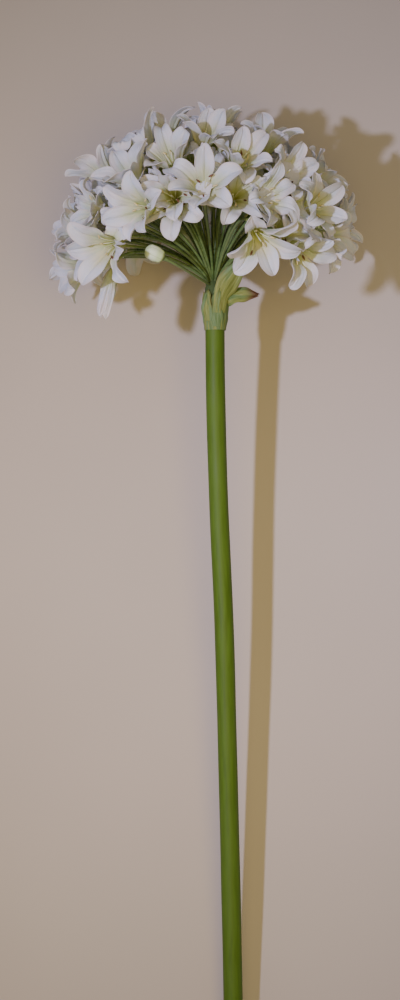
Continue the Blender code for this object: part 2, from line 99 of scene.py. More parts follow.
# Floret
PETALS = 6
BASE_RADIUS = 0.0019
THROAT_RADIUS = 0.0042
THROAT_HEIGHT = 0.0080
FACE_HEIGHT = 0.0120
PETAL_LENGTH = 0.0250
PETAL_HALF_WIDTH = 0.0065
PETAL_START = 22.0  # angle of a petal to the floret's axis where it leaves the throat
PETAL_START_LEAST = 0.6  # share of that angle in a petal that stays upright
PETAL_OPEN = 58.0  # how much further it turns out by its tip
OUTER_TURN = 10.0  # the outer three turn out further than the inner three
CLOSED_START, CLOSED_TURN = 9.0, -34.0  # the same angles in the one floret that hangs closed
CLOSED_SIZE = 0.85
CLEARANCE = SLOT / 2 + BLADE / 2  # from a petal's middle to the surface
SOFTNESS = 0.0012  # distance over which a petal bends away from it

# Pedicels
PEDICEL_RADIUS = 0.00095
RECEPTACLE_PROFILE = ((0.0055, -0.0010), (0.0044, 0.0030), (0.0, 0.0055))  # (radius, height)
ROOT_DEPTH = 0.0035  # distance from the hub at which a pedicel's root starts
ROOT_LEAN = 0.62  # pedicels leave the hub at this share of their floret's angle
PEDICEL_ARCH = (0.45, 0.25)  # handles at the root and at the floret, as shares of the span
PEDICEL_NECK = 0.0040  # straight length under a floret, over which the pedicel widens
ROOT_TAPER, NECK_FLARE = 0.85, 1.6  # radius at the root and under the floret, as shares

# Bud
BUD_BASE = np.array((-0.0309, -0.0500, 0.0132))
BUD_AXIS = np.array((-0.88, -0.22, 0.42))
BUD_LEAN = 1.0
BUD_LENGTH = 0.0125
BUD_RADIUS = 0.0050

# Spathe
SPATHE_BOTTOM, SPATHE_RIM = -0.0275, -0.0035

# ---- Values of the looks ----

WINDOW_FILLERS = ((-17, 64), (14, 60), (38, 78))  # where florets hang over the gap in front
FILLERS = 31  # further florets, deeper in the head, in the widest gaps between the others
FILLER_DEPTH = (0.006, 0.012)
FILLER_CANDIDATES = 900
OVERLAP_REACH = 0.062  # florets further apart than this can't touch
TUCK_CLEARANCE = 0.0009  # between a petal and the petals that it lies under
TUCK_SOFTNESS = 0.0009
SKIRT_END = 0.004  # how far past a petal's tip it still bends those under it

# How much petals differ in their angle round the floret, in how far they turn out, in length
# (a share) and in roll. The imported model's differ a little less.
PETAL_SPREAD = (9.0, 13.0, 0.12, 24.0)
OPENNESS_SPREAD = (0.45, 1.12)  # a petal's own opening, as a share of its floret's
OPENING_STEPS = (0.0, 0.12, 0.24, -0.12, -0.24, -0.36, -0.48, -0.6)
OPENING_COST = 0.0065  # metres of push that one whole opening is worth
WIDTH_SPREAD = (0.93, 1.07)
CLOSED_PALER = 0.32  # how far up an open petal the closed one's foot has its colours

SHEET = 0.00028  # thickness of a petal
PETAL_SCALE = 1.06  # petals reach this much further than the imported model's
LIMB_STATIONS, TUBE_STATIONS = 19, 4
# Where the columns of a petal's mesh lie, from its middle line to its edge
COLUMNS = np.array((0.0, 0.08, 0.20, 0.37, 0.55, 0.75, 0.91, 1.0))
TUBE_WRAP = 34.0  # half the angle that a petal wraps round the throat
SECTOR_SHARE = 0.66  # half width of a petal over its distance from the axis, at most
# Angle of the arc across a petal, in radians, from its middle to its edge
LIMB_CURL, CLOSED_CURL = 0.40, 0.9
INNER_LIFT, OUTER_DROP = 0.00030, 0.00020  # how the two whorls of petals stand apart
MIDRIB, MIDRIB_WIDTH = 0.00055, 0.11
RIBS, RIB_COUNT = 0.00027, 2.3
EDGE_WAVE = 0.0008
SWAY = 0.0016  # how far petals and filaments bend sideways by their tips, at most
# A petal's outline: a sine over a power of its length, raised to one exponent below its widest
# place and to the petal's own bluntness above it, and the half width at its foot
OUTLINE_POWER, OUTLINE_WIDEST, OUTLINE_SLIMNESS, FOOT_WIDTH = 1.32, 0.591, 0.9, 0.37
TIP_BLUNTNESS = (0.78, 0.50)
TIP_HALF_WIDTH = 0.00035
TIP_RECURVE = (6.0, 50.0)  # how much further the last part of a petal turns out
CURLED_SHARE, CURLED_RECURVE = 0.16, (60.0, 110.0)  # petals whose tip curls right under

STAMENS, CLOSED_STAMENS = 5, 3
STAMEN_LENGTH = 0.0190
STAMEN_LEAN, CLOSED_LEAN = (0.20, 0.42), 0.05  # how far a stamen leans out, over its length
FILAMENT_RADIUS = 0.00030
ANTHER_LENGTH, ANTHER_RADIUS = 0.0036, 0.00062
ANTHER_STATIONS = np.array((-0.5, -0.44, -0.3, -0.1, 0.12, 0.32, 0.45, 0.5))
STYLE_FOOT, STYLE_LENGTH, STYLE_RADIUS = 0.001, 0.0195, 0.00036
STYLE_KNOB = (0.00050, 0.00030)

PEDICEL_SEGMENTS = 20
CUT_END = ((0.985, 0.0002), (0.93, 0.0), (0.5, 0.0002), (0.2, 0.0006))  # (share of radius, height)
BUD_PEDICEL_REACH = 0.8  # how far along a floret's pedicel the colours of the bud's own reach
BUD_PROFILE = ((0, 0.06, 0.15, 0.45, 0.8, 0.93, 1.0), (0.34, 0.60, 0.84, 1.0, 0.93, 0.66, 0.22))

SLEEVE_HALF_TURN = 196  # half the angle that the spathe's sleeve wraps round the stem
SLEEVE_RADII = ((0, 0.08, 0.3, 0.75, 1), (0.0065, 0.0067, 0.0074, 0.0078, 0.0072))
SLEEVE_OVERLAP = 0.0005  # how far its right edge lies over its left one
SPATHE_SEAM = SLEEVE_HALF_TURN - 18  # azimuth of its middle; its seam lies left of the front
SPATHE_SHEET = 0.0003
# The spathe's blades. Each is (steps, depth of its fold, how brown its tip is, seed). A step is
# (share of its length, x, y, z, half width, azimuth faced, lean).
SPATHE_BLADES = (
    # Stands out to the right, browned at its tip
    (((0, 0.0056, -0.0052, -0.0100, 0.0050, 50, 30),
      (0.2, 0.0100, -0.0044, -0.0068, 0.0052, 28, 62),
      (0.45, 0.0155, -0.0026, -0.0052, 0.0048, 8, 84),
      (0.7, 0.0212, -0.0020, -0.0048, 0.0043, 0, 94),
      (0.88, 0.0258, -0.0024, -0.0052, 0.0024, 0, 96),
      (1, 0.0288, -0.0030, -0.0054, 0.0006, 0, 96)), 0.0010, 1.0, 1.0),
    # Broad, rises to the upper right in front of the pedicels
    (((0, 0.0032, -0.0078, -0.0170, 0.0040, 24, 0),
      (0.3, 0.0050, -0.0080, -0.0060, 0.0054, 24, 12),
      (0.5, 0.0086, -0.0086, 0.0012, 0.0068, 22, 34),
      (0.72, 0.0130, -0.0102, 0.0072, 0.0070, 20, 40),
      (0.9, 0.0160, -0.0116, 0.0124, 0.0054, 20, 28),
      (1, 0.0174, -0.0122, 0.0154, 0.0022, 20, 22)), 0.0009, 0.0, 2.3),
    # Hugs the stem on the left and ends in a point
    (((0, -0.0040, -0.0064, -0.0220, 0.0036, -34, 0),
      (0.5, -0.0046, -0.0064, -0.0120, 0.0038, -36, -2),
      (0.85, -0.0040, -0.0058, -0.0052, 0.0024, -36, 6),
      (1, -0.0032, -0.0052, -0.0026, 0.0008, -36, 10)), 0.0005, 0.0, 4.1),
    # A narrow fold down the front
    (((0, 0.0018, -0.0077, -0.0255, 0.0024, 6, 0),
      (0.4, 0.0014, -0.0085, -0.0170, 0.0030, 6, -4),
      (0.8, 0.0024, -0.0088, -0.0070, 0.0032, 10, 8),
      (1, 0.0040, -0.0084, -0.0010, 0.0014, 14, 14)), 0.0007, 0.0, 5.2),
)

# Camera: looks down on the lying flower, squarely to its axis
CAMERA_DISTANCE = 1.5
VIEW_WIDTH = 0.254  # how much of the flower's plane the picture takes in
VIEW_MIDDLE = (-0.0086, -0.1353)  # to the right of the hub and up from it
SENSOR = 36.0

# A small cool lamp from the left, and a broad warm one from above that colours the shadow. Each is
# (name, place, aim, diameter, watts, spread, colour).
LIGHTS = (
    ("key", (-0.42, 0.08, 1.00), (0.157, 0.092, 0.0), 0.037, 1.45, 64.0, (0.698, 0.661, 1.0)),
    ("fill", (0.04, -0.10, 0.99), (-0.10, 0.04, 0.0), 0.65, 0.956, 64.7, (1.0, 0.725, 0.166)),
)
WORLD_COLOUR, WORLD_STRENGTH = (0.724, 0.700, 0.690, 1.0), 0.385
FLOOR_REACH = 4.0


def laid_down(points):
    """Points of the flower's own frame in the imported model's."""
    x, y, z = np.asarray(points, float).reshape(-1, 3).T
    c, s = math.cos(math.radians(TILT)), math.sin(math.radians(TILT))
    return np.column_stack((x, y * s + z * c, -y * c + z * s)) + HUB_AT


def unit(v):
    return v / np.linalg.norm(v)


def square_to(axis):
    """Two directions that are square to an axis and to each other."""
    side = np.cross(axis, (0.0, 0.0, 1.0))
    if np.linalg.norm(side) < 0.2:
        side = np.cross(axis, (0.0, 1.0, 0.0))
    side = unit(side)
    return side, np.cross(axis, side)


# ---- Arrangement of the florets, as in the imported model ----

def direction(azimuth, polar):
    """Unit vector at an azimuth from the front towards the right, and an angle from the axis."""
    a, p = math.radians(azimuth), math.radians(polar)
    return np.array((math.sin(p) * math.sin(a), -math.sin(p) * math.cos(a), math.cos(p)))


def lowest_polar(d):
    """Angle from the axis of the lowest floret on the side of the head that d points to."""
    across = math.hypot(d[0], d[1]) or 1.0
    side, front = (d[0] / across) ** 2, (d[1] / across) ** 2
    return ((LIMIT_LEFT if d[0] < 0 else LIMIT_RIGHT) * side
            + (LIMIT_FRONT if d[1] < 0 else LIMIT_BACK) * front)


def polar_of(d):
    return math.degrees(math.acos(max(-1.0, min(1.0, d[2]))))


def azimuth_of(d):
    return math.degrees(math.atan2(d[0], -d[1]))


def held_in_head(d):
    """d, raised to the head's lower edge where it is below that."""
    limit = lowest_polar(d)
    return d if polar_of(d) <= limit else direction(azimuth_of(d), limit)


def spiral(count):
    """Points of a golden spiral over the whole sphere that lie in the head."""
    turn = 180.0 * (3.0 - math.sqrt(5.0))
    points = (direction(i * turn, math.degrees(math.acos(1 - (2 * i + 1) / count)))
              for i in range(count))
    return [d for d in points if polar_of(d) <= lowest_polar(d)]


def floret_directions():
    """The front florets, then the others, pushed apart until they are evenly spread."""
    fixed = [direction(azimuth, polar) for azimuth, polar, _, _ in FRONT_FLORETS]
    count = FLORETS
    while len(spiral(count)) < FLORETS:
        count += 1
    free = spiral(count)[:FLORETS]
    for key in fixed:
        free.pop(max(range(len(free)), key=lambda i: free[i] @ key))
    places = np.array(fixed + free)
    for _ in range(RELAX_STEPS):
        apart = places[:, None] - places[None]
        distance = np.linalg.norm(apart, axis=2) + np.eye(len(places))
        push = (apart / distance[..., None] ** 4).sum(axis=1) * RELAX_STEP / len(places)
        push[:len(fixed)] = 0
        places = places + push
        places /= np.linalg.norm(places, axis=1)[:, None]
        places[len(fixed):] = [held_in_head(d) for d in places[len(fixed):]]
    return places


class Floret:
    """Where one floret stands, how open it is, and which others lie over it."""

    def __init__(self, index, d):
        draw = random.Random(SEED * 1000 + index)
        jitter = np.array([draw.uniform(-1, 1) for _ in range(3)])
        stagger = FACE_STAGGER * draw.uniform(-1, 1)
        if index >= FLORETS:
            stagger = -draw.uniform(*FILLER_DEPTH)
        self.openness = draw.uniform(0.70, 1.0)
        if index < len(FRONT_FLORETS):
            _, _, stagger, self.openness = FRONT_FLORETS[index]
        self.closed = self.openness == 0
        droop = (HANGING_DROOP if self.closed else DROOP) * (1 - d[2])
        if index < len(FRONT_NODS):
            droop += FRONT_NODS[index]
        self.axis = unit(d + AXIS_JITTER * jitter - np.array((0, 0, droop)))
        reach = FACE_RADIUS + stagger
        normal, at = SURFACE
        if normal @ d > RESTING:
            down = (at - RESTING_HEIGHT - normal @ HEAD_CENTRE) / (normal @ (d * FLATTENED))
            reach = min(down, FACE_RADIUS + RESTING_STRETCH)
        self.face = HEAD_CENTRE + d * FLATTENED * reach
        self.base = self.face - self.axis * FACE_HEIGHT
        self.side, self.up = square_to(self.axis)
        self.twist = draw.uniform(0, 360 / PETALS)
        if index < len(FRONT_TWISTS):
            self.twist = FRONT_TWISTS[index]
        self.size = draw.uniform(0.90, 1.06) * (CLOSED_SIZE if self.closed else 1.0)
        self.petals = [[draw.uniform(-1, 1) for _ in range(4)] for _ in range(PETALS)]
        self.over = []  # the florets whose petals lie over this one's
        self.rank = (index >= len(FRONT_FLORETS), -stagger)

    def out(self, angle):
        """Unit vector away from the axis at an angle round it."""
        a = math.radians(angle)
        return self.side * math.cos(a) + self.up * math.sin(a)

    def line(self, height, out, outward, sway=0.0):
        """Points at heights over the foot, and at distances outward and sideways."""
        return (self.base + np.outer(height, self.axis) + np.outer(out, outward)
                + np.outer(sway, np.cross(self.axis, outward)))

    def petal_angle(self, j):
        return self.twist + 360 / PETALS * j + PETAL_SPREAD[0] * self.petals[j][0]


def filler_directions(places):
    """Directions of the widest gaps between florets, one after the other."""
    taken = list(places) + [direction(*at) for at in WINDOW_FILLERS]
    candidates = np.array(spiral(FILLER_CANDIDATES))
    for _ in range(FILLERS):
        nearest = np.max(candidates @ np.array(taken).T, axis=1)
        taken.append(candidates[nearest.argmin()])
    return taken[len(places):]


def put_in_order(florets):
    """Says of each floret which of its neighbours lie over it, and returns them from the top."""
    ordered = sorted(florets, key=lambda floret: floret.rank)
    for i, floret in enumerate(ordered):
        floret.over = [other for other in ordered[:i]
                       if np.linalg.norm(other.face - floret.face) < OVERLAP_REACH]
    return ordered


def above_surface(points):
    """Points lifted, softly and then firmly, off the surface that the flower lies on."""
    normal, at = SURFACE
    over = points @ normal - at + CLEARANCE
    points = points - (SOFTNESS * np.logaddexp(0, over / SOFTNESS))[:, None] * normal
    over = np.maximum(points @ normal - at + CLEARANCE, 0)
    return points - over[:, None] * normal


def pushed_out(points, floret):
    """How far points have to move, and which way, to lie outside a floret's spread petals."""
    apart = points - floret.base
    height = apart @ floret.axis
    radial = apart - height[:, None] * floret.axis
    across = np.linalg.norm(radial, axis=1)
    outward = radial / np.maximum(across, 1e-6)[:, None]
    angle = np.degrees(np.arctan2(radial @ floret.up, radial @ floret.side))
    place = ((angle - floret.petal_angle(0)) / (360 / PETALS)) % PETALS
    before = place.astype(int) % PETALS
    share = (place - np.floor(place))[:, None, None]
    line = (1 - share) * floret.lines[before] + share * floret.lines[(before + 1) % PETALS]
    here = np.stack((across, height), axis=1)[:, None]
    start, run = line[:, :-1], np.diff(line, axis=1)
    along = np.clip(((here - start) * run).sum(2) / (run * run).sum(2), 0, 1)
    gap = here - (start + run * along[..., None])
    distance = np.linalg.norm(gap, axis=2)
    nearest = distance.argmin(axis=1)
    at = np.arange(len(points)), nearest
    run = run[at]
    normal = np.stack((run[:, 1], -run[:, 0]), axis=1)
    normal /= np.linalg.norm(normal, axis=1)[:, None]
    outside = (gap[at] * normal).sum(1)
    signed = np.where(outside >= 0, 1, -1) * distance[at]
    push = TUCK_SOFTNESS * np.logaddexp(0, (TUCK_CLEARANCE - signed) / TUCK_SOFTNESS)
    # The last stretch of the line lies past the tip, and the push fades out along it
    last = line.shape[1] - 2
    fade = np.where(nearest == last, 1 - along[at], 1.0)
    push = np.where((push > 1e-6) & (height >= 0), push * fade, 0)
    return push[:, None] * (normal[:, :1] * outward + normal[:, 1:] * floret.axis)


def tucked(points, floret):
    """Points moved under the petals of the florets that lie over this one, and off the surface."""
    for _ in range(2):
        for other in floret.over:
            points = points + pushed_out(points, other)
    return above_surface(points)


# ---- Meshes ----

def placed(name, data):
    """A new object in the scene."""
    made = bpy.data.objects.new(name, data)
    bpy.context.scene.collection.objects.link(made)
    return made


def smooth(low, high, x):
    """0 below low, 1 above high, and a smooth rise between them."""
    t = np.clip((x - low) / (high - low), 0, 1)
    return t * t * (3 - 2 * t)


class Shell:
    """Points, faces and per-point values of one piece, gathered part by part."""

    def __init__(self, *names):
        self.points, self.faces, self.kinds = [], [], []
        self.values = {name: [] for name in names}
        self.count = 0

    def add(self, points, faces, kind=0, **values):
        """A part. Each value is one number, or one for each point."""
        points = np.asarray(points, float).reshape(-1, 3)
        self.points.append(points)
        self.faces += [tuple(self.count + k for k in face) for face in faces]
        self.kinds += [kind] * len(faces)
        for name, held in self.values.items():
            held.append(np.broadcast_to(values.get(name, 0.0), len(points)))
        self.count += len(points)

    def add_sheet(self, grid, thickness, **values):
        """A thin solid round a grid. Each value is one number, or one for each of its points."""
        rows, columns, _ = grid.shape
        normal = np.cross(np.gradient(grid, axis=1), np.gradient(grid, axis=0))
        normal = normal / np.maximum(np.linalg.norm(normal, axis=2, keepdims=True), 1e-12)
        size = rows * columns
        faces = grid_faces(rows, columns)
        faces += [tuple(size + k for k in face[::-1]) for face in faces]
        at = np.arange(size).reshape(rows, columns)
        rim = np.concatenate((at[0], at[1:, -1], at[-1, -2::-1], at[-2:0:-1, 0])).tolist()
        faces += [(rim[n - 1], rim[n], size + rim[n], size + rim[n - 1]) for n in range(len(rim))]
        values = {name: np.tile(np.ravel(value), 2) if np.ndim(value) else value
                  for name, value in values.items()}
        self.add((grid + normal * thickness / 2, grid - normal * thickness / 2), faces,
                 behind=np.repeat((0.0, 1.0), size), **values)

    def add_rings(self, rings, kind=0, flipped=False, **values):
        """A closed tube of rings. Each value is one number, one for each ring, or one a point."""
        rows, sides, _ = np.shape(rings)
        faces = grid_faces(rows, sides, closed=True)
        faces.append(tuple(range(sides))[::-1])
        faces.append(tuple(range((rows - 1) * sides, rows * sides)))
        if flipped:
            faces = [face[::-1] for face in faces]
        values = {name: np.repeat(value, sides) if np.size(value) == rows else value
                  for name, value in values.items()}
        self.add(rings, faces, kind, **values)

    def build(self, name, materials, replaced, sharp=60.0):
        mesh = bpy.data.meshes.new(name)
        mesh.from_pydata(laid_down(np.concatenate(self.points)).tolist(), [], self.faces)
        for material in materials:
            mesh.materials.append(material)
        mesh.polygons.foreach_set("material_index", self.kinds)
        for key, held in self.values.items():
            layer = mesh.attributes.new(key, "FLOAT", "POINT")
            layer.data.foreach_set("value", np.concatenate(held).astype(np.float32))
        mesh.shade_smooth()
        mesh.set_sharp_from_angle(angle=math.radians(sharp))
        mesh.validate()
        made = placed(name, mesh)
        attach(made, "root")
        if replaced:
            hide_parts(*replaced)


def grid_faces(rows, columns, closed=False):
    """Quads of a grid of points, row by row; closed joins the last column to the first."""
    here = np.arange(rows * columns).reshape(rows, columns)
    after = np.roll(here, -1, axis=1)
    quads = np.stack((here[:-1], after[:-1], after[1:], here[1:]), axis=2)
    return quads[:, :columns if closed else -1].reshape(-1, 4).tolist()


def tube_rings(path, radii, sides):
    """Rings of points round a path, as rows by sides."""
    path = np.asarray(path, float)
    ahead = np.gradient(path, axis=0)
    ahead /= np.linalg.norm(ahead, axis=1)[:, None]
    side = np.array(Vector(ahead[0]).orthogonal().normalized())
    rings = []
    turns = 2 * np.pi * np.arange(sides) / sides
    for at, forward, radius in zip(path, ahead, radii):
        side = unit(side - forward * (side @ forward))
        up = np.cross(forward, side)
        ring = np.outer(np.cos(turns), side) + np.outer(np.sin(turns), up)
        rings.append(at + ring * radius)
    return np.array(rings)


# ---- Petals ----

def petal_angles(floret, j, opening):
    """Where a petal starts to turn out, and how far it turns."""
    if floret.closed:
        return CLOSED_START, CLOSED_TURN + 1.6 * PETAL_SPREAD[1] * floret.petals[j][1]
    turn = PETAL_OPEN * opening + PETAL_SPREAD[1] * floret.petals[j][1]
    turn += OUTER_TURN if j % 2 else 0.0
    return PETAL_START * (PETAL_START_LEAST + (1 - PETAL_START_LEAST) * opening), turn


def limb_path(floret, j, opening, shares, recurve=0.0):
    """(distance out, height, angle) at shares of a petal's length, with its tip turned further."""
    start, turn = petal_angles(floret, j, opening)
    length = PETAL_LENGTH * PETAL_SCALE * floret.size * (1 + PETAL_SPREAD[2] * floret.petals[j][2])
    fine = np.linspace(0, 1, 97)
    angle = np.radians(start + turn * fine + recurve * smooth(0.6, 1.0, fine))
    middle = (angle[1:] + angle[:-1]) / 2
    out = THROAT_RADIUS + np.concatenate(([0], np.cumsum(np.sin(middle)))) * length / 96
    height = THROAT_HEIGHT + np.concatenate(([0], np.cumsum(np.cos(middle)))) * length / 96
    return tuple(np.interp(shares, fine, values) for values in (out, height, angle))


def petal_opening(floret, j, wanted):
    """The opening, near the one wanted, with which a petal is pushed least by others."""
    outward = floret.out(floret.petal_angle(j))

    def cost(opening):
        out, height, _ = limb_path(floret, j, opening, (0.3, 0.5, 0.7, 0.85, 1.0))
        line = floret.line(height, out, outward)
        moved = np.linalg.norm(tucked(line, floret) - line, axis=1)
        return (moved ** 2).mean() + (OPENING_COST * (opening - wanted)) ** 2

    return min((wanted + step for step in OPENING_STEPS), key=cost)


def limb_width(t, bluntness):
    """Half width of a petal's limb as a share of its greatest, at shares of its length."""
    swell = np.sin(np.pi * np.clip(t, 0, 1) ** OUTLINE_POWER)
    swell = np.maximum(swell, 0) ** np.where(t < OUTLINE_WIDEST, OUTLINE_SLIMNESS, bluntness)
    return FOOT_WIDTH * (1 - t) ** 4 + swell


def petal_grid(floret, j, look):
    """The middle surface of one petal, from the floret's foot to the tip, and its coordinates."""
    t = 1 - (1 - np.linspace(0, 1, LIMB_STATIONS)) ** 1.25
    opening = petal_opening(floret, j, floret.openness * look.uniform(*OPENNESS_SPREAD))
    recurve = look.uniform(*TIP_RECURVE)
    if look.random() < CURLED_SHARE:
        recurve = look.uniform(*CURLED_RECURVE)
    if floret.closed:
        recurve = 0.0
    out, height, angle = limb_path(floret, j, opening, t, recurve)
    # The tube below it
    s = np.linspace(0, 1, TUBE_STATIONS, endpoint=False)
    wider, higher = THROAT_RADIUS - BASE_RADIUS, THROAT_HEIGHT - BLADE
    slant = math.atan2(wider, higher)
    along = np.concatenate(((s - 1) * 0.32, t))
    out = np.concatenate((BASE_RADIUS + wider * s, out))
    height = np.concatenate((BLADE + higher * s, height))
    angle = np.concatenate((slant + (angle[0] - slant) * s ** 2, angle))
    limb = np.clip(along, 0, 1)

    u, a = np.meshgrid((*-COLUMNS[:0:-1], *COLUMNS), along)
    wrap = math.radians(TUBE_WRAP)
    widest = PETAL_HALF_WIDTH * floret.size * look.uniform(*WIDTH_SPREAD)
    shape = limb_width(limb, look.uniform(*TIP_BLUNTNESS))
    half = np.where(along <= 0, out * wrap, np.minimum(widest * shape, out * SECTOR_SHARE))
    half = np.maximum(half, out * wrap * (1 - smooth(0.0, 0.25, limb)))
    half[-1] = TIP_HALF_WIDTH
    curl = LIMB_CURL * look.uniform(0.3, 1.5)
    if floret.closed:
        curl = CLOSED_CURL
    bend = wrap + (curl - wrap) * smooth(0.02, 0.4, limb)
    theta = bend[:, None] * u
    radius = half / np.maximum(bend, 1e-3)
    wide = np.sin(theta) * radius[:, None]
    rise = (1 - np.cos(theta)) * radius[:, None]
    # A fold along the middle, sharper towards the tip, and edges that wave
    grown = smooth(0.05, 0.35, limb)[:, None]
    fold = look.uniform(0.02, 0.22) + 0.25 * smooth(0.75, 1.0, limb)[:, None]
    rise = rise + fold * half[:, None] * (np.sqrt(u * u + 0.02) - math.sqrt(0.02)) * grown
    waves, phases = look.uniform(1.4, 2.6), (look.uniform(0, 6.3), look.uniform(0, 6.3))
    phase = np.where(u < 0, *phases)
    wave = EDGE_WAVE * look.uniform(0.5, 1.4) * np.abs(u) ** 1.6 * grown
    rise = rise + wave * np.sin(2 * np.pi * waves * a + phase)
    ribs = MIDRIB * np.exp(-(u / MIDRIB_WIDTH) ** 2) + RIBS * np.cos(2 * np.pi * RIB_COUNT * u)
    ribs = ribs * grown * (1 - smooth(0.88, 1.0, a))
    rise = rise - ribs + (-OUTER_DROP if j % 2 else INNER_LIFT)

    outward = floret.out(floret.petal_angle(j))
    sideways = np.cross(floret.axis, outward)
    tangent = np.outer(np.cos(angle), floret.axis) + np.outer(np.sin(angle), outward)
    behind = np.cross(sideways, tangent)
    roll = math.radians(PETAL_SPREAD[3] * floret.petals[j][3]) * smooth(0.0, 0.6, limb)[:, None]
    turned = np.cos(roll) * sideways - behind * np.sin(roll)
    lifted = -(behind * np.cos(roll) + np.sin(roll) * sideways)
    sway = look.uniform(-1, 1) * SWAY * smooth(0.2, 1.0, limb) ** 2
    line = floret.line(height, out, outward, sway)
    grid = line[:, None] + wide[..., None] * turned[:, None] + rise[..., None] * lifted[:, None]
    return tucked(grid.reshape(-1, 3), floret).reshape(grid.shape), a, u


def line_of(floret, grid):
    """A petal's middle line as (distance from the axis, height), with a stretch past its tip."""
    middle = grid[:, grid.shape[1] // 2] - floret.base
    height = middle @ floret.axis
    across = np.linalg.norm(middle - height[:, None] * floret.axis, axis=1)
    line = np.stack((across, height), axis=1)
    return np.concatenate((line, [line[-1] + unit(line[-1] - line[-3]) * SKIRT_END]))


def add_petals(shell, floret, look):
    lines = []
    for j in range(PETALS):
        grid, along, across = petal_grid(floret, j, look)
        lines.append(line_of(floret, grid))
        paler = CLOSED_PALER if floret.closed else 0.0
        shell.add_sheet(grid, SHEET, along=along + paler, across=across, seed=look.random())
    floret.lines = np.array(lines)


def add_stamens(shell, floret, look):
    """Filaments that rise from the tube and spread, each with an anther across its end."""
    count = CLOSED_STAMENS if floret.closed else STAMENS
    for k in range(count):
        outward = floret.out(floret.twist + 360 / count * k + look.uniform(-14, 14))
        sideways = np.cross(floret.axis, outward)
        long = STAMEN_LENGTH * look.uniform(0.82, 1.08) * (1.0 if k % 2 else 0.86)
        lean = CLOSED_LEAN if floret.closed else look.uniform(*STAMEN_LEAN)
        s = np.linspace(0, 1, 9)
        out = 0.0008 + long * lean * s ** 1.8
        sway = look.uniform(-1, 1) * SWAY * s ** 2
        height = 0.0012 + long * (s - 0.10 * s ** 3)
        path = tucked(floret.line(height, out, outward, sway), floret)
        thread = tube_rings(path, FILAMENT_RADIUS * (1 - 0.35 * s), 5)
        shell.add_rings(thread, 1, along=s, seed=look.random())
        # The anther
        ahead = unit(path[-1] - path[-2])
        axis = unit(ahead + outward * look.uniform(-0.3, 1.2)
                    + sideways * look.uniform(-0.8, 0.8))
        line = path[-1] + np.outer(ANTHER_STATIONS * ANTHER_LENGTH, axis)
        line += np.outer(0.25 * ANTHER_LENGTH * (ANTHER_STATIONS ** 2 - 0.25), ahead)
        swell = np.sqrt(np.maximum(1 - (2 * ANTHER_STATIONS) ** 2, 0.03)) * ANTHER_RADIUS
        anther = tube_rings(tucked(line, floret), swell, 6)
        shell.add_rings(anther, 1, along=2.0, seed=look.random())


def add_style(shell, floret, look):
    """The one style in the middle, longer than the stamens and knobbed at its end."""
    if floret.closed:
        return
    s = np.linspace(0, 1, 8)
    bow = floret.out(look.uniform(0, 360)) * look.uniform(0.001, 0.003)
    path = tucked(floret.line(STYLE_FOOT + STYLE_LENGTH * s, s ** 2, bow), floret)
    radii = STYLE_RADIUS * (1 - 0.4 * s)
    radii[-2:] = STYLE_KNOB
    shell.add_rings(tube_rings(path, radii, 5), 1, along=0.6 * s, seed=look.random())


# ---- Materials ----

